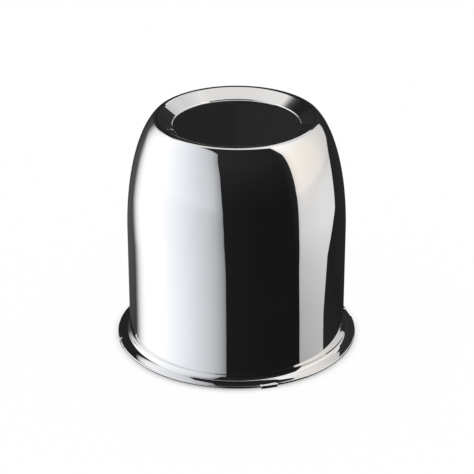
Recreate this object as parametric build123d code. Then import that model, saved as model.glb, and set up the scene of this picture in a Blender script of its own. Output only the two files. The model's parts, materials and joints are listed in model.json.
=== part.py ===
from build123d import *
import os
from math import acos, atan2, cos, degrees, hypot, radians, sin, sqrt, tan

# Push-through wheel center cap
#
# One steel sheet, deep drawn into a closed cup and bright plated all over. The cup has a straight wall that sits
# in the wheel's center bore, an elliptical shoulder, a rounded crest and a dished end with a flat round panel.
# Its open end is turned out into a flat flange, with small tabs pressed down in the flange's edge.
#
# Millimetres and degrees. +Z is the cap's axis and points to its closed end. Z = 0 is the plane that the cap
# stands on, under the tips of the tabs.

# The wheel's center bore and the gap that lets the wall pass through it
WHEEL_BORE = 108.0
BORE_GAP = 0.25

# The sheet, and the cap's height from its standing plane to the top of the crest
SHEET = 1.0
HEIGHT = 117.2

# The flange: how far it reaches past the wall, the bend at the wall's foot, and the rounded upper edge of its rim
FLANGE_REACH = 6.0
FOOT_BEND = 1.6
RIM_ROUND = 0.35

# The shoulder, from the top of the straight wall to where the crest's bend begins
SHOULDER_RISE = 57.7
SHOULDER_INSET = 13.5
SHOULDER_END_SLOPE = 47.0

# The crest's bend, then the cone that falls inwards to the flat panel
CREST_BEND = 2.7
DISH_SLOPE = 32.7
DISH_DEPTH = 4.5
PANEL_BEND = 0.8

# The tabs pressed down in the flange's edge
TAB_COUNT = 4
TAB_WIDTH = 8.5
TAB_LENGTH = 3.0
TAB_DROP = 0.95
TAB_BEND = 0.5

# Sizes that follow from the ones above
wall_radius = WHEEL_BORE / 2 - BORE_GAP
flange_radius = wall_radius + FLANGE_REACH
flange_under = TAB_DROP
flange_top = flange_under + SHEET
crest_centre_z = HEIGHT - CREST_BEND
shoulder_end = (
    wall_radius - SHOULDER_INSET,
    crest_centre_z + CREST_BEND * cos(radians(SHOULDER_END_SLOPE)),
)
crest_centre = (
    shoulder_end[0] - CREST_BEND * sin(radians(SHOULDER_END_SLOPE)),
    crest_centre_z,
)
shoulder_start_z = shoulder_end[1] - SHOULDER_RISE
panel_z = HEIGHT - DISH_DEPTH


def polar(centre, radius, angle):
    """The point at an angle in degrees on a circle in the section plane."""
    return (
        centre[0] + radius * cos(radians(angle)),
        centre[1] + radius * sin(radians(angle)),
    )


def shoulder_arc(start, end):
    """The quarter of an ellipse that leaves start straight up and reaches end at the shoulder's end slope.

    With run the radial and rise the vertical distance, the end angle t of the ellipse follows from
    cos t / (1 + cos t) = tan(slope) * run / rise.
    """
    run, rise = start[0] - end[0], end[1] - start[1]
    share = tan(radians(SHOULDER_END_SLOPE)) * run / rise
    cos_end = share / (1 - share)
    radial = run / (1 - cos_end)
    vertical = rise / sqrt(1 - cos_end**2)
    centre = (start[0] - radial, start[1])
    return EllipticalCenterArc(centre, radial, vertical, start_angle=0, arc_size=degrees(acos(cos_end)))


def skin(depth):
    """The edges of the surface that lies depth under the outer one, from the flange's rim to the axis.

    Every bend keeps its centre: a bend that bulges outwards loses depth from its radius, a hollow one gains it.
    """
    foot_centre = (wall_radius + FOOT_BEND, flange_top + FOOT_BEND)
    foot_radius = FOOT_BEND + depth
    wall_foot = polar(foot_centre, foot_radius, 180)
    wall_top = (wall_radius - depth, shoulder_start_z)

    crest_radius = CREST_BEND - depth
    crest_start_angle = 90 - SHOULDER_END_SLOPE
    crest_end_angle = 90 + DISH_SLOPE
    crest_start = polar(crest_centre, crest_radius, crest_start_angle)
    cone_top = polar(crest_centre, crest_radius, crest_end_angle)

    # The bend at the panel's edge touches both the cone and the panel
    panel_radius = PANEL_BEND + depth
    bend_centre_z = panel_z + PANEL_BEND
    cone_foot_z = bend_centre_z - panel_radius * cos(radians(DISH_SLOPE))
    cone_foot = (
        cone_top[0] - (cone_top[1] - cone_foot_z) / tan(radians(DISH_SLOPE)),
        cone_foot_z,
    )
    bend_centre = (
        cone_foot[0] - panel_radius * sin(radians(DISH_SLOPE)),
        bend_centre_z,
    )
    panel_edge = polar(bend_centre, panel_radius, -90)

    return [
        Line((flange_radius - RIM_ROUND, flange_top - depth), polar(foot_centre, foot_radius, -90)),
        CenterArc(foot_centre, foot_radius, 180, 90),
        Line(wall_foot, wall_top),
        shoulder_arc(wall_top, crest_start),
        CenterArc(crest_centre, crest_radius, crest_start_angle, crest_end_angle - crest_start_angle),
        Line(cone_top, cone_foot),
        CenterArc(bend_centre, panel_radius, -90, DISH_SLOPE),
        Line(panel_edge, (0, panel_edge[1])),
    ]


def drawn_cup():
    """The cup with its plain flange: the sheet's section turned about the axis."""
    rim_round_centre = (flange_radius - RIM_ROUND, flange_top - RIM_ROUND)
    rim = [
        CenterArc(rim_round_centre, RIM_ROUND, 0, 90),
        Line((flange_radius, flange_top - RIM_ROUND), (flange_radius, flange_under)),
        Line((flange_radius, flange_under), (flange_radius - RIM_ROUND, flange_under)),
    ]
    middle = [Line((0, panel_z), (0, panel_z - SHEET))]
    section = make_face(skin(0) + skin(SHEET) + rim + middle)
    return revolve(Plane.XZ * section, axis=Axis.Z)


def turned(section, width):
    """A section turned about the axis by the angle that has this width at the flange's rim, centred on +X."""
    sweep = degrees(width / flange_radius)
    return Rot(Z=-sweep / 2) * revolve(Plane.XZ * section, axis=Axis.Z, revolution_arc=sweep)


def tab_window():
    """The stretch of plain flange that a tab takes the place of."""
    root = flange_radius - TAB_LENGTH
    outside = flange_radius + SHEET
    corners = [
        (root, flange_under - SHEET),
        (outside, flange_under - SHEET),
        (outside, flange_top + SHEET),
        (root, flange_top + SHEET),
    ]
    return turned(make_face(Polyline(*corners, close=True)), TAB_WIDTH)


def tab():
    """A tab: the sheet bends down at its root and runs straight to its tip, whose lower edge is at Z = 0.

    Seen from the bend's centre, the tip lies at the bend's angle plus the angle that the straight run subtends.
    """
    root = flange_radius - TAB_LENGTH
    bend_centre = (root, flange_under - TAB_BEND)
    tip_up = TAB_BEND - TAB_DROP
    straight = sqrt(hypot(TAB_LENGTH, tip_up) ** 2 - TAB_BEND**2)
    bend = degrees(atan2(TAB_LENGTH, tip_up) - atan2(straight, TAB_BEND))
    outer_bend = TAB_BEND + SHEET
    tip_under = (flange_radius, flange_under - TAB_DROP)
    tip_over = (flange_radius, tip_under[1] + SHEET / cos(radians(bend)))
    section = make_face(
        [
            Line((root, flange_under), (root, flange_top)),
            CenterArc(bend_centre, outer_bend, 90 - bend, bend),
            Line(polar(bend_centre, outer_bend, 90 - bend), tip_over),
            Line(tip_over, tip_under),
            Line(tip_under, polar(bend_centre, TAB_BEND, 90 - bend)),
            CenterArc(bend_centre, TAB_BEND, 90 - bend, bend),
        ]
    )
    return turned(section, TAB_WIDTH)


def center_cap():
    """The whole cap, with its tabs spaced evenly round the flange from +X."""
    places = [Rot(Z=360 * i / TAB_COUNT) for i in range(TAB_COUNT)]
    cup = drawn_cup() - [place * tab_window() for place in places]
    return cup + [place * tab() for place in places]


os.makedirs("parts", exist_ok=True)
export_step(center_cap(), "parts/center_cap.step")
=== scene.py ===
import json
import bpy
import numpy as np
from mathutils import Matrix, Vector


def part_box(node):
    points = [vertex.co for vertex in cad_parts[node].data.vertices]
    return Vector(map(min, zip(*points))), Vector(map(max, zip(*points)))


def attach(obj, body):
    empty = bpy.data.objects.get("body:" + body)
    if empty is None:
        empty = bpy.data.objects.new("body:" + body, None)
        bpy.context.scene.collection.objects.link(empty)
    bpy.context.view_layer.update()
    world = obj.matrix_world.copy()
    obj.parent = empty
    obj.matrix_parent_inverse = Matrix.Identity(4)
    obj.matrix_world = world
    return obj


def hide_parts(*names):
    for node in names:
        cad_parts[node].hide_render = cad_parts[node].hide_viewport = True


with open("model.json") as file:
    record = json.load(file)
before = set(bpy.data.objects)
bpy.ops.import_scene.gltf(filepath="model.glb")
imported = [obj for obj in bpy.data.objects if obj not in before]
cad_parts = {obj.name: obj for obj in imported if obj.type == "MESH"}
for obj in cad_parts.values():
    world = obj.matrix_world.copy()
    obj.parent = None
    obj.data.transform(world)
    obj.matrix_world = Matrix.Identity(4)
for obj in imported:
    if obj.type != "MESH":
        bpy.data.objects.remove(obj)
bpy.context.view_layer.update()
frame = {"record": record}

# The cap: one steel sheet, deep drawn on a press into a closed cup. Its open end is turned out into a
# flat flange, which stops against the wheel from behind while the wall passes through the wheel's bore.
# Four small tabs are sheared at their ends and pressed down in the flange's edge.
mm = 0.001
cap_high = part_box("center_cap")[1]
bore_wall = next(mount for mount in frame["record"]["mounts"] if mount["name"] == "bore_wall")
wall_radius = bore_wall["dims"]["r_mm"] * mm
flange_radius = cap_high.x
height = cap_high.z
sheet = 1.0 * mm
tab_drop = 0.95 * mm
flange_top = tab_drop + sheet
flare_bend = 4.0 * mm
flare_end = np.radians(55.0)
foot_bend = 1.2 * mm
flange_fall = np.radians(12.0)
hollow_bend = 8.0 * mm
shoulder_rise = 57.7 * mm
shoulder_inset = 13.5 * mm
shoulder_end_slope = np.radians(47.0)
crest_bend = 2.7 * mm
dish_slope = np.radians(32.7)
dish_depth = 4.5 * mm
panel_bend = 0.8 * mm
lip_bend = 0.25 * mm
lip_slope = np.radians(52.0)
lip_fall = 0.3 * mm


def crowded(count):
    """Numbers from 0 to 1 that crowd towards both ends as half a cosine wave does, so that a flat
    stretch keeps its flat normals right up to the bend beside it."""
    return (1 - np.cos(np.pi * np.linspace(0, 1, count))) / 2


def straight(start, end, count):
    """Points on a straight run: the share 1 - u of its start plus the share u of its end."""
    share = crowded(count)[:, None]
    return (1 - share) * np.array(start) + share * np.array(end)


def bend(centre, radii, first, last, count):
    """Points on an arc of a circle or ellipse: the centre plus the two radii times the cosine and sine
    of an angle that runs from first to last, in radians."""
    angle = first + (last - first) * crowded(count)
    return np.array(centre) + np.array(radii) * np.stack([np.cos(angle), np.sin(angle)], -1)


def skin(depth):
    """Radius and height along the surface that lies depth under the outer one, from rim to axis.

    Straight runs and arcs follow each other without a corner. An arc that bulges outwards loses depth
    from its radius and a hollow one gains it. The shoulder is part of an ellipse that leaves the wall
    straight up and reaches the crest at its slope: with run and rise its two extents, the cosine c of
    its last angle follows from c / (1 + c) = tan(slope) * run / rise."""
    quarter = np.pi / 2
    rim_end = flange_radius - rim_round
    fall_way = np.array([np.sin(flange_fall), np.cos(flange_fall)])
    flare_way = np.array([np.sin(flare_end), np.cos(flare_end)])
    flare_reach = flare_bend * (1 - np.sin(flare_end))
    foot_reach = flare_reach + foot_bend * (np.sin(flare_end) - np.sin(flange_fall))
    hollow_end = wall_radius + foot_reach + hollow_bend * np.sin(flange_fall)
    hollow_centre = np.array([hollow_end, flange_top + hollow_bend])
    foot_centre = hollow_centre - (hollow_bend - foot_bend) * fall_way
    flare_centre = foot_centre + (flare_bend - foot_bend) * flare_way
    hollow_radius = hollow_bend + depth
    foot_radius = foot_bend + depth
    flare_radius = flare_bend + depth
    crest_radius = crest_bend - depth
    crest_centre = np.array([
        wall_radius - shoulder_inset - crest_bend * np.sin(shoulder_end_slope),
        height - crest_bend,
    ])
    shoulder_way = np.array([np.sin(shoulder_end_slope), np.cos(shoulder_end_slope)])
    shoulder_end = crest_centre + crest_radius * shoulder_way
    outer_rise = height - crest_bend + crest_bend * np.cos(shoulder_end_slope)
    wall_top = (wall_radius - depth, outer_rise - shoulder_rise)
    run, rise = wall_top[0] - shoulder_end[0], shoulder_end[1] - wall_top[1]
    share = np.tan(shoulder_end_slope) * run / rise
    last_cos = share / (1 - share)
    shoulder_radii = (run / (1 - last_cos), rise / np.sqrt(1 - last_cos**2))
    shoulder_centre = (wall_top[0] - shoulder_radii[0], wall_top[1])
    dish_way = np.array([-np.sin(dish_slope), np.cos(dish_slope)])
    cone_top = crest_centre + crest_radius * dish_way
    panel_height = height - dish_depth - depth
    outside = depth == 0
    edge_radius = lip_bend if outside else panel_bend + depth
    steepest = lip_slope if outside else dish_slope
    edge_top = panel_height + edge_radius * (1 - np.cos(steepest)) + outside * lip_fall
    lip_top = edge_top + lip_bend * (np.cos(dish_slope) - np.cos(steepest))
    cone_foot = np.array([cone_top[0] - (cone_top[1] - lip_top) / np.tan(dish_slope), lip_top])
    steep_way = np.array([-np.sin(steepest), np.cos(steepest)])
    lip_centre = cone_foot - lip_bend * dish_way
    lip_foot = lip_centre + lip_bend * steep_way
    edge_start = lip_foot - outside * lip_fall * np.array([1 / np.tan(steepest), 1])
    edge_centre = edge_start + edge_radius * steep_way
    lip = [
        bend(lip_centre, (lip_bend, lip_bend), quarter + dish_slope, quarter + steepest, 8),
        straight(lip_foot, edge_start, 5),
    ]
    stretches = [
        straight((rim_end, flange_top - depth), (hollow_end, flange_top - depth), 10),
        bend(hollow_centre, (hollow_radius, hollow_radius), -quarter, -flange_fall - quarter, 12),
        bend(foot_centre, (foot_radius, foot_radius), -flange_fall - quarter, -flare_end - quarter, 12),
        bend(flare_centre, (flare_radius, flare_radius), -flare_end - quarter, -2 * quarter, 14),
        straight((wall_top[0], flare_centre[1]), wall_top, 18),
        bend(shoulder_centre, shoulder_radii, 0, np.arccos(last_cos), 46),
        bend(
            crest_centre,
            (crest_radius, crest_radius),
            quarter - shoulder_end_slope,
            quarter + dish_slope,
            20,
        ),
        straight(cone_top, cone_foot, 10),
        *(lip if outside else []),
        bend(edge_centre, (edge_radius, edge_radius), steepest - quarter, -quarter, 9),
        straight((edge_centre[0], panel_height), (0, panel_height), 10),
    ]
    return np.concatenate([stretch[:-1] for stretch in stretches])


# The rim's cut edge: rolled over at the top by the shearing, and deburred at the bottom
rim_round = 0.45 * mm
burr_round = 0.15 * mm
rim_round_rows = 6
rolled_centre = (flange_radius - rim_round, flange_top - rim_round)
burr_centre = (flange_radius - burr_round, tab_drop + burr_round)
rim = np.concatenate([
    bend(rolled_centre, (rim_round, rim_round), np.pi / 2, 0, rim_round_rows + 2)[1:-1],
    straight((flange_radius, rolled_centre[1]), (flange_radius, burr_centre[1]), 6)[:-1],
    bend(burr_centre, (burr_round, burr_round), 0, -np.pi / 2, 6),
])
outer_skin = skin(0)[::-1]
section = np.concatenate([outer_skin, rim, skin(sheet)])

# Angles round the cap: columns crowd at each tab's sheared ends, where the edge steps down in shear_blur
tab_count = 4
tab_width = 8.2 * mm
tab_length = 2.4 * mm
shear_blur = 0.35 * mm
tab_half = tab_width / 2 / flange_radius
blur = shear_blur / flange_radius
half_pitch = np.pi / tab_count
half_turn = np.concatenate([
    np.linspace(0, tab_half - blur, 6)[:-1],
    np.linspace(tab_half - blur, tab_half + blur, 8)[:-1],
    np.linspace(tab_half + blur, half_pitch, 22)[:-1],
])
one_pitch = np.concatenate([half_turn, [half_pitch], -half_turn[:0:-1] + 2 * half_pitch])
angle = (one_pitch + 2 * half_pitch * np.arange(tab_count)[:, None]).ravel()
from_tab = np.abs((angle + half_pitch) % (2 * half_pitch) - half_pitch)


def smooth_step(value):
    """0 below 0 and 1 above 1, joined by three times the square less twice the cube."""
    value = np.clip(value, 0, 1)
    return value * value * (3 - 2 * value)


def round_fall(along):
    """How far a tab's arc has fallen at a distance along the flange from its root: R less the root of
    R squared less the distance squared, with R such that the fall at the full length is tab_drop."""
    arc = (tab_length**2 + tab_drop**2) / (2 * tab_drop)
    return arc - np.sqrt(arc**2 - along**2)


# The surface: each section point carried round the axis, and lowered where a tab is
in_tab = smooth_step((tab_half + blur - from_tab) / (2 * blur))
along_tab = np.clip(section[:, 0] - flange_radius + tab_length, 0, tab_length)
fall = round_fall(along_tab)[:, None] * in_tab
surface = np.stack([
    section[:, :1] * np.cos(angle),
    section[:, :1] * np.sin(angle),
    section[:, 1:] - fall,
], -1)
rows, columns = surface.shape[:2]
place = np.arange(rows * columns).reshape(rows, columns)
beside = np.roll(place, -1, axis=1)
quads = np.stack([place[:-1], place[1:], beside[1:], beside[:-1]], -1).reshape(-1, 4)
outer_pole, inner_pole = rows * columns, rows * columns + 1
outer_fan = np.stack([np.full(columns, outer_pole), place[0], beside[0]], -1)
inner_fan = np.stack([place[-1], np.full(columns, inner_pole), beside[-1]], -1)
poles = np.array([[0, 0, height - dish_depth], [0, 0, height - dish_depth - sheet]])
cap_mesh = bpy.data.meshes.new("center_cap_sheet")
cap_mesh.from_pydata(
    np.concatenate([surface.reshape(-1, 3), poles]).tolist(),
    [],
    quads.tolist() + outer_fan.tolist() + inner_fan.tolist(),
)
cap_mesh.shade_smooth()
cap = bpy.data.objects.new("center_cap_sheet", cap_mesh)
bpy.context.scene.collection.objects.link(cap)
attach(cap, "root")
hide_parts("center_cap")


# The outside's finish: steel polished on a buffing wheel, then plated with nickel and chromium. To the
# eye it is a nearly perfect mirror, stirred only by faint buffing lines and the sheet's slight swell.
def linear(code):
    """An sRGB colour such as #c8cacd as linear red, green, blue and alpha."""
    share = np.array([int(code[i:i + 2], 16) for i in (1, 3, 5)]) / 255
    light = np.where(share <= 0.04045, share / 12.92, ((share + 0.055) / 1.055) ** 2.4)
    return (*light.tolist(), 1.0)


def add(tree, kind, inputs, **settings):
    """A node with its settings, each input set to a value or linked from a pair of node and output."""
    made = tree.nodes.new("ShaderNode" + kind)
    for name, value in settings.items():
        setattr(made, name, value)
    for name, value in inputs.items():
        if isinstance(value, tuple) and isinstance(value[0], bpy.types.Node):
            tree.links.new(value[0].outputs[value[1]], made.inputs[name])
        else:
            made.inputs[name].default_value = value
    return made


swell_width = 11 * mm
swell_height = 0.012 * mm
cloud_width = 26 * mm
# Real buffing lines are a tenth of this apart; they are drawn as coarse as they need to be to show
buffing_spacing = 0.7 * mm
buffing_length = 45 * mm
chrome = bpy.data.materials.new("bright_chromium_plate")
chrome.use_nodes = True
tree = chrome.node_tree
tree.nodes.clear()
here = add(tree, "TexCoord", {})
swell = add(tree, "TexNoise", {"Vector": (here, "Object"), "Scale": 1 / swell_width, "Detail": 1.0})
cloud = add(tree, "TexNoise", {"Vector": (here, "Object"), "Scale": 1 / cloud_width, "Detail": 3.0})
stretched = add(tree, "Mapping", {
    "Vector": (here, "Object"),
    "Scale": (1 / buffing_length, 1 / buffing_length, 1 / buffing_spacing),
})
buffing = add(tree, "TexNoise", {"Vector": (stretched, "Vector"), "Scale": 1.0, "Detail": 2.0})
tone = add(tree, "ValToRGB", {"Fac": (cloud, "Fac")})
tone.color_ramp.elements[0].position = 0.3
tone.color_ramp.elements[0].color = linear("#ebebec")
tone.color_ramp.elements[1].position = 0.7
tone.color_ramp.elements[1].color = linear("#efeff0")
haze = add(tree, "MapRange", {
    "Value": (buffing, "Fac"),
    "From Min": 0.25,
    "From Max": 0.75,
    "To Min": 0.012,
    "To Max": 0.034,
})
relief = add(tree, "Bump", {"Height": (swell, "Fac"), "Strength": 1.0, "Distance": swell_height})
plate = add(tree, "BsdfPrincipled", {
    "Base Color": (tone, "Color"),
    "Metallic": 1.0,
    "Roughness": (haze, "Result"),
    "Normal": (relief, "Normal"),
})
add(tree, "OutputMaterial", {"Surface": (plate, "BSDF")})
cap_mesh.materials.append(chrome)

# The inside's finish: the drawn sheet, never buffed, with only a thin flash of plating. It is a dull grey
# satin with the press's draw marks running up the wall.
draw_mark_spacing = 0.9 * mm
draw_mark_length = 35 * mm
draw_mark_height = 0.02 * mm
satin = bpy.data.materials.new("flash_plated_drawn_steel")
satin.use_nodes = True
tree = satin.node_tree
tree.nodes.clear()
here = add(tree, "TexCoord", {})
drawn = add(tree, "Mapping", {
    "Vector": (here, "Object"),
    "Scale": (1 / draw_mark_spacing, 1 / draw_mark_spacing, 1 / draw_mark_length),
})
marks = add(tree, "TexNoise", {"Vector": (drawn, "Vector"), "Scale": 1.0, "Detail": 3.0})
cloud = add(tree, "TexNoise", {"Vector": (here, "Object"), "Scale": 1 / cloud_width, "Detail": 4.0})
tone = add(tree, "ValToRGB", {"Fac": (cloud, "Fac")})
tone.color_ramp.elements[0].position = 0.3
tone.color_ramp.elements[0].color = linear("#9a9b9d")
tone.color_ramp.elements[1].position = 0.7
tone.color_ramp.elements[1].color = linear("#b4b4b3")
dullness = add(tree, "MapRange", {
    "Value": (marks, "Fac"),
    "From Min": 0.3,
    "From Max": 0.7,
    "To Min": 0.3,
    "To Max": 0.46,
})
relief = add(tree, "Bump", {"Height": (marks, "Fac"), "Strength": 1.0, "Distance": draw_mark_height})
flash = add(tree, "BsdfPrincipled", {
    "Base Color": (tone, "Color"),
    "Metallic": 1.0,
    "Roughness": (dullness, "Result"),
    "Normal": (relief, "Normal"),
})
add(tree, "OutputMaterial", {"Surface": (flash, "BSDF")})
cap_mesh.materials.append(satin)

# The cut edge's finish: torn steel, left grainy by the shears and hardly covered by the plating, so it is
# dull. Its colour is also painted far darker than steel, as painted shade for the shadow along the rim's
# edge. It is a dark, dull line round the rim.
grain_width = 0.5 * mm
torn_edge_painted_dark = bpy.data.materials.new("sheared_steel_edge_with_painted_shade")
torn_edge_painted_dark.use_nodes = True
tree = torn_edge_painted_dark.node_tree
tree.nodes.clear()
here = add(tree, "TexCoord", {})
grain = add(tree, "TexNoise", {"Vector": (here, "Object"), "Scale": 1 / grain_width, "Detail": 2.0})
tone = add(tree, "ValToRGB", {"Fac": (grain, "Fac")})
tone.color_ramp.elements[0].position = 0.35
tone.color_ramp.elements[0].color = linear("#2b2c2e")
tone.color_ramp.elements[1].position = 0.65
tone.color_ramp.elements[1].color = linear("#525356")
edge_steel_painted_dark = add(tree, "BsdfPrincipled", {
    "Base Color": (tone, "Color"),
    "Metallic": 1.0,
    "Roughness": 0.38,
})
add(tree, "OutputMaterial", {"Surface": (edge_steel_painted_dark, "BSDF")})
cap_mesh.materials.append(torn_edge_painted_dark)
# The rows of the cut edge, which take its dull colour with the painted shade
edge_row = len(outer_skin) + rim_round_rows
inside_row = len(outer_skin) + len(rim)
finish = np.zeros(len(cap_mesh.polygons), np.int32)
finish[edge_row * columns:inside_row * columns] = 2
finish[inside_row * columns:len(quads)] = 1
finish[len(quads) + columns:] = 1
cap_mesh.polygons.foreach_set("material_index", finish)

# The camera: a long lens across the table from the cap and well above it, aimed at the cap's axis
camera_azimuth = np.radians(-15.3)
camera_away = 841 * mm
camera_height = 466.2 * mm
aim_height = 52.36 * mm
aim_right = 0.2 * mm
to_camera = np.array([np.sin(camera_azimuth), -np.cos(camera_azimuth), 0])
to_right = np.array([np.cos(camera_azimuth), np.sin(camera_azimuth), 0])
up = np.array([0, 0, 1])
eye = camera_away * to_camera + camera_height * up
target = aim_right * to_right + aim_height * up
camera_data = bpy.data.cameras.new("camera")
camera_data.sensor_width = 36.0
camera_data.lens = 144.07
camera = bpy.data.objects.new("camera", camera_data)
camera.location = eye
camera.rotation_euler = Vector(target - eye).to_track_quat("-Z", "Y").to_euler()
bpy.context.scene.collection.objects.link(camera)
bpy.context.scene.camera = camera

# The table: a plain sheet of white paper, lit evenly from all round. For camera, mirror and transmission
# rays it also glows nearly pure white as painted light, which washes out the cap's real shadow. The glow is
# painted thinner near the flange, so the soft shadow the cap casts shows only within contact_shadow of its
# flange.
table_half = 4.0
contact_shadow = 4 * mm
table_mesh = bpy.data.meshes.new("table")
table_corners = table_half * np.array([[-1, -1, 0], [1, -1, 0], [1, 1, 0], [-1, 1, 0]])
table_mesh.from_pydata(table_corners.tolist(), [], [[0, 1, 2, 3]])
table = bpy.data.objects.new("table", table_mesh)
bpy.context.scene.collection.objects.link(table)
paper = bpy.data.materials.new("white_paper_with_painted_glow")
paper.use_nodes = True
tree = paper.node_tree
tree.nodes.clear()
rays = add(tree, "LightPath", {})
seen = add(tree, "Math", {0: (rays, "Is Camera Ray"), 1: (rays, "Is Glossy Ray")}, operation="MAXIMUM")
seen = add(tree, "Math", {0: (seen, "Value"), 1: (rays, "Is Transmission Ray")}, operation="MAXIMUM")
here = add(tree, "TexCoord", {})
away = add(tree, "VectorMath", {0: (here, "Object")}, operation="LENGTH")
# The share of painted white glow: least at and under the flange, where the cap's shadow shows, and nearly
# whole from contact_shadow beyond it
lift = add(tree, "MapRange", {
    "Value": (away, "Value"),
    "From Min": flange_radius,
    "From Max": flange_radius + contact_shadow,
    "To Min": 0.45,
    "To Max": 0.96,
}, interpolation_type="SMOOTHSTEP")
painted_glow_share = add(tree, "Math", {0: (seen, "Value"), 1: (lift, "Result")}, operation="MULTIPLY")
matt = add(tree, "BsdfDiffuse", {"Color": linear("#fbfbfb")})
white = add(tree, "Emission", {"Color": linear("#ffffff"), "Strength": 1.0})
sheet_look = add(tree, "MixShader", {0: (painted_glow_share, "Value"), 1: (matt, "BSDF"), 2: (white, "Emission")})
add(tree, "OutputMaterial", {"Surface": (sheet_look, "Shader")})
table_mesh.materials.append(paper)
world = bpy.data.worlds.new("white_room")
world.use_nodes = True
world.node_tree.nodes["Background"].inputs["Color"].default_value = linear("#ffffff")
world.node_tree.nodes["Background"].inputs["Strength"].default_value = 1.0
bpy.context.scene.world = world

# The studio's cards, which only the plating's reflections show. Each lies on the table from the cap's
# wall outwards and then stands up. Azimuths are in degrees to the right of the camera, and paths in metres.
# Glow is what the plating should show, so a card is painted brighter by what the plate takes away.
card_glow = bpy.data.materials.new("card_glow")
card_glow.use_nodes = True
card_glow.cycles.emission_sampling = "NONE"
tree = card_glow.node_tree
tree.nodes.clear()
painted = add(tree, "VertexColor", {}, layer_name="glow")
shine = add(tree, "Emission", {"Color": (painted, "Color"), "Strength": 1.0})
add(tree, "OutputMaterial", {"Surface": (shine, "Emission")})
plate_white = 0.84


def card(name, spots, glow):
    """A card on a grid of spots, each right, away and up as the camera faces, painted with its glow."""
    world_spots = spots @ np.stack([to_right, -to_camera, up])
    tall, wide = spots.shape[:2]
    index = np.arange(tall * wide).reshape(tall, wide)
    faces = np.stack([index[:-1, :-1], index[:-1, 1:], index[1:, 1:], index[1:, :-1]], -1).reshape(-1, 4)
    mesh = bpy.data.meshes.new(name)
    mesh.from_pydata(world_spots.reshape(-1, 3).tolist(), [], faces.tolist())
    paint = mesh.color_attributes.new("glow", "FLOAT_COLOR", "POINT")
    colour = np.concatenate([glow / plate_white, np.ones((tall, wide, 1))], -1)
    paint.data.foreach_set("color", colour.astype(np.float32).ravel())
    mesh.materials.append(card_glow)
    made = bpy.data.objects.new(name, mesh)
    bpy.context.scene.collection.objects.link(made)
    made.visible_camera = False
    made.visible_diffuse = False
    made.visible_shadow = False


def swept(azimuth, path, reach, lift):
    """Where a mirror ray goes that leaves the wall at half an azimuth and heads along that azimuth:
    path metres over the table until reach, and the rest of path straight up."""
    half = np.radians(azimuth) / 2
    out = np.minimum(path, reach)
    rise = np.maximum(path - reach, 0) + lift
    return np.stack([
        wall_radius * np.sin(half) + out * np.sin(2 * half),
        -wall_radius * np.cos(half) - out * np.cos(2 * half),
        rise + 0 * half,
    ], -1)


# A black cloth all round the cap, lying on the table and hanging from its edge, with a black ceiling over
# it. It is nearly black before the camera and a little lighter behind the cap.
cloth_reach = 2500 * mm
cloth_turn = np.radians(np.linspace(-180, 180, 181))
cloth_azimuth = np.degrees(cloth_turn)
cloth_lift = 0.2 * mm
cloth_top = mm * np.interp(
    cloth_azimuth,
    [-170, -150, -108, -98, 144, 150, 172, 178],
    [3600, 1600, 1600, 5800, 5800, 1700, 1700, 3600],
)
cloth_path = np.concatenate([np.geomspace(wall_radius, cloth_reach, 8), np.full(8, cloth_reach)])[:, None]
cloth_rise = np.concatenate([np.zeros(8), np.linspace(0, 1, 8)])[:, None] * cloth_top + cloth_lift
cloth_spots = np.stack([
    cloth_path * np.sin(cloth_turn),
    -cloth_path * np.cos(cloth_turn),
    cloth_rise,
], -1)
cloth_lying = np.interp(
    cloth_azimuth,
    [-180, -158, -140, -40, -10, 20, 55, 66, 100, 150, 180],
    [0.02, 0.03, 0.075, 0.012, 0.011, 0.008, 0.008, 0.019, 0.013, 0.021, 0.02],
)
cloth_hanging = np.interp(
    cloth_azimuth,
    [-180, -140, -40, -10, 55, 66, 150, 170, 180],
    [0.016, 0.014, 0.021, 0.02, 0.0145, 0.028, 0.03, 0.027, 0.02],
)
cloth_tone = cloth_lying + (cloth_hanging - cloth_lying) * np.interp(cloth_rise, [0.2, 1.4], [0, 1])
card("black_cloth", cloth_spots, cloth_tone[..., None] * np.array([1.0, 1.0, 1.03]))
ceiling_edge = np.array([-9, 9])
ceiling_height = 5.85
ceiling_tone = 0.01
ceiling_spots = np.stack(np.broadcast_arrays(ceiling_edge, ceiling_edge[:, None], ceiling_height), -1)
card("black_ceiling", ceiling_spots, np.full((2, 2, 3), ceiling_tone))

# A large softbox on the left: brightest at its middle and back, falling off and cooler towards the camera
reach = 2400 * mm
card_start = 6.2 * mm
card_lift = 0.5 * mm
card_rise = reach + np.linspace(0.05, 4.6, 50)
card_path = np.concatenate([np.geomspace(card_start, reach, 34), card_rise])[:, None]
box_path = card_path
box_front = np.interp(
    box_path,
    [0, 0.1, 0.23, 0.6, 2.4, 3.27, 4.08, 5.26, 5.6, 5.9, 6.3],
    [-10.5, -11, -12.5, -13.8, -14.7, -19, -24.5, -30, -37, -45, -58],
)
box_back = np.interp(
    box_path,
    [0.1, 0.23, 2.4, 3.1, 3.5, 5.0, 5.9],
    [-135, -142, -146, -146, -140, -138, -142],
)
box_azimuth = box_back + (box_front - box_back) * np.linspace(0, 1, 120)
from_front = box_front - box_azimuth
box_lying = np.interp(from_front, [0, 2, 8, 16, 46, 80, 125], [0.19, 0.28, 0.42, 0.53, 0.8, 1.06, 1.08])
box_upright = np.interp(from_front, [0, 2, 8, 16, 46, 80, 125], [0.28, 0.36, 0.52, 0.62, 0.85, 1.06, 1.08])
box_glow = box_lying + (box_upright - box_lying) * np.interp(box_path, [0.1, 2.4], [0, 1])
box_glow = box_glow * np.interp(box_path, [2.4, 3.9, 5.0], [1, 0.95, 0.9])
from_back = box_azimuth - box_back
box_edge = np.interp(from_back, [0, 5, 10, 15, 20, 27, 40], [0, 0.25, 0.57, 0.77, 0.88, 0.96, 1])
coolness = np.interp(from_front, [0, 50, 85], [1, 1, 0])[..., None]
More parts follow.
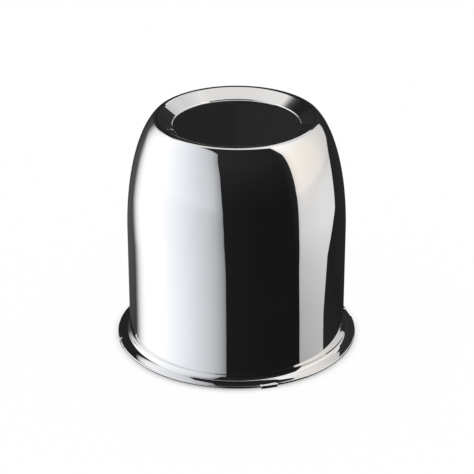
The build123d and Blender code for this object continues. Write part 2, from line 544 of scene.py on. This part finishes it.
box_tint = 1 + coolness * np.array([-0.025, 0, 0.04])
box_dark = np.array([0.06, 0.061, 0.067])
box_top = mm * np.interp(
    box_azimuth,
    [-135, -118, -105, -85, -70, -62, -55],
    [1700, 2400, 4690, 4690, 3800, 3600, 3500],
)
box_spots = swept(box_azimuth, box_path, reach, card_lift)
box_spots[..., 2] = np.minimum(box_spots[..., 2], box_top)
box_colour = box_dark + (box_glow[..., None] * box_tint - box_dark) * box_edge[..., None]
card("left_softbox", box_spots, box_colour)

# A white board on the right, warm and bright where it stands, greyer where it lies on the table
board_path = card_path
board_front = np.interp(
    board_path,
    [0.05, 0.12, 0.23, 2.4, 3.27, 4.08, 4.8],
    [69.8, 68.2, 67, 66.2, 64.5, 63.7, 61],
)
board_back = np.interp(
    board_path,
    [0.05, 0.12, 0.23, 2.4, 2.6, 3.3, 3.7, 4.5],
    [105, 111, 125, 139, 143.5, 147, 149.5, 151],
)
board_azimuth = board_front + (board_back - board_front) * np.linspace(0, 1, 80)
from_front = board_azimuth - board_front
board_glow = np.interp(
    board_path,
    [0.01, 0.05, 0.12, 0.23, 0.6, 2.4, 3.27, 3.7, 4.1, 5, 6.9],
    [0.405, 0.435, 0.54, 0.64, 0.7, 0.83, 0.9, 0.9, 0.92, 0.97, 1.1],
)
board_lying = np.interp(from_front, [0, 3, 10, 35], [0.82, 0.95, 1, 1.15])
board_upright = np.interp(from_front, [0, 3, 9, 40, 60, 76, 85], [0.82, 0.93, 1, 0.91, 0.77, 0.69, 0.6])
board_fade = board_lying + (board_upright - board_lying) * np.interp(board_path, [0.12, 1.0], [0, 1])
dim_share, dim_path, dim_turn = 0.13, 4.4, 20
dim_corner = smooth_step(board_path - dim_path) * smooth_step((from_front - dim_turn) / dim_turn)
board_fade = board_fade * (1 - dim_share * dim_corner)
warmth = np.interp(board_path, [0.3, 3.2, 3.6, 4.5], [0.15, 1, 1, 0.35])
warmth = warmth * np.interp(from_front, [35, 75], [1, 0.2])
board_tint = 1 - warmth[..., None] * np.array([0, 0.065, 0.15])
card(
    "right_board",
    swept(board_azimuth, board_path, reach, card_lift),
    (board_glow * board_fade)[..., None] * board_tint,
)

# A softbox overhead, brightest along its front edge, that fades out at its left back corner
roof_height = 4700 * mm
roof_across = np.linspace(0, 1, 131)[None, :]
roof_along = np.linspace(0, 1, 90)[:, None]
roof_left, roof_right, roof_end = -8, 5, 8
roof_x = roof_left + (roof_right - roof_left) * roof_across + 0 * roof_along
roof_front = np.interp(
    roof_x,
    [-2.5, -2.0, -1.5, -0.8, 0.1, 1.35, 4.5],
    [-0.6, -0.4, -0.3, -0.3, -0.42, -0.85, -2.3],
)
roof_y = roof_front + (roof_end - roof_front) * roof_along
roof_spots = np.stack([roof_x, roof_y, roof_height + 0 * roof_x], -1)
roof_glow = np.interp(roof_y, [-0.9, -0.25, 0, 0.5, 1.3], [1.0, 0.8, 0.68, 0.7, 0.74])
fade_right, fade_away = -0.44, 0.9
slant = fade_right * roof_x + fade_away * roof_y
corner = np.interp(slant, [3.3, 3.82, 4.29, 4.8, 5.4], [1, 0.5, 0.14, 0.06, 0.03])
roof_back = np.interp(
    roof_x,
    [-4.5, -3.1, -2.35, -1.5, 0, 0.9, 1.4],
    [5.5, 3.7, 3.0, 2.6, 2.4, 2.8, 7.0],
)
roof_glow = roof_glow * (corner + (1 - corner) * np.interp(roof_x, [-2, -1], [0, 1]))
roof_soft = 0.3
roof_dark = 0.015
roof_glow = np.maximum(roof_glow * smooth_step((roof_back - roof_y) / roof_soft + 0.5), roof_dark)
card("overhead_softbox", roof_spots, roof_glow[..., None] * np.array([1.02, 1.0, 0.97]))

bpy.context.scene.view_settings.view_transform = "Standard"
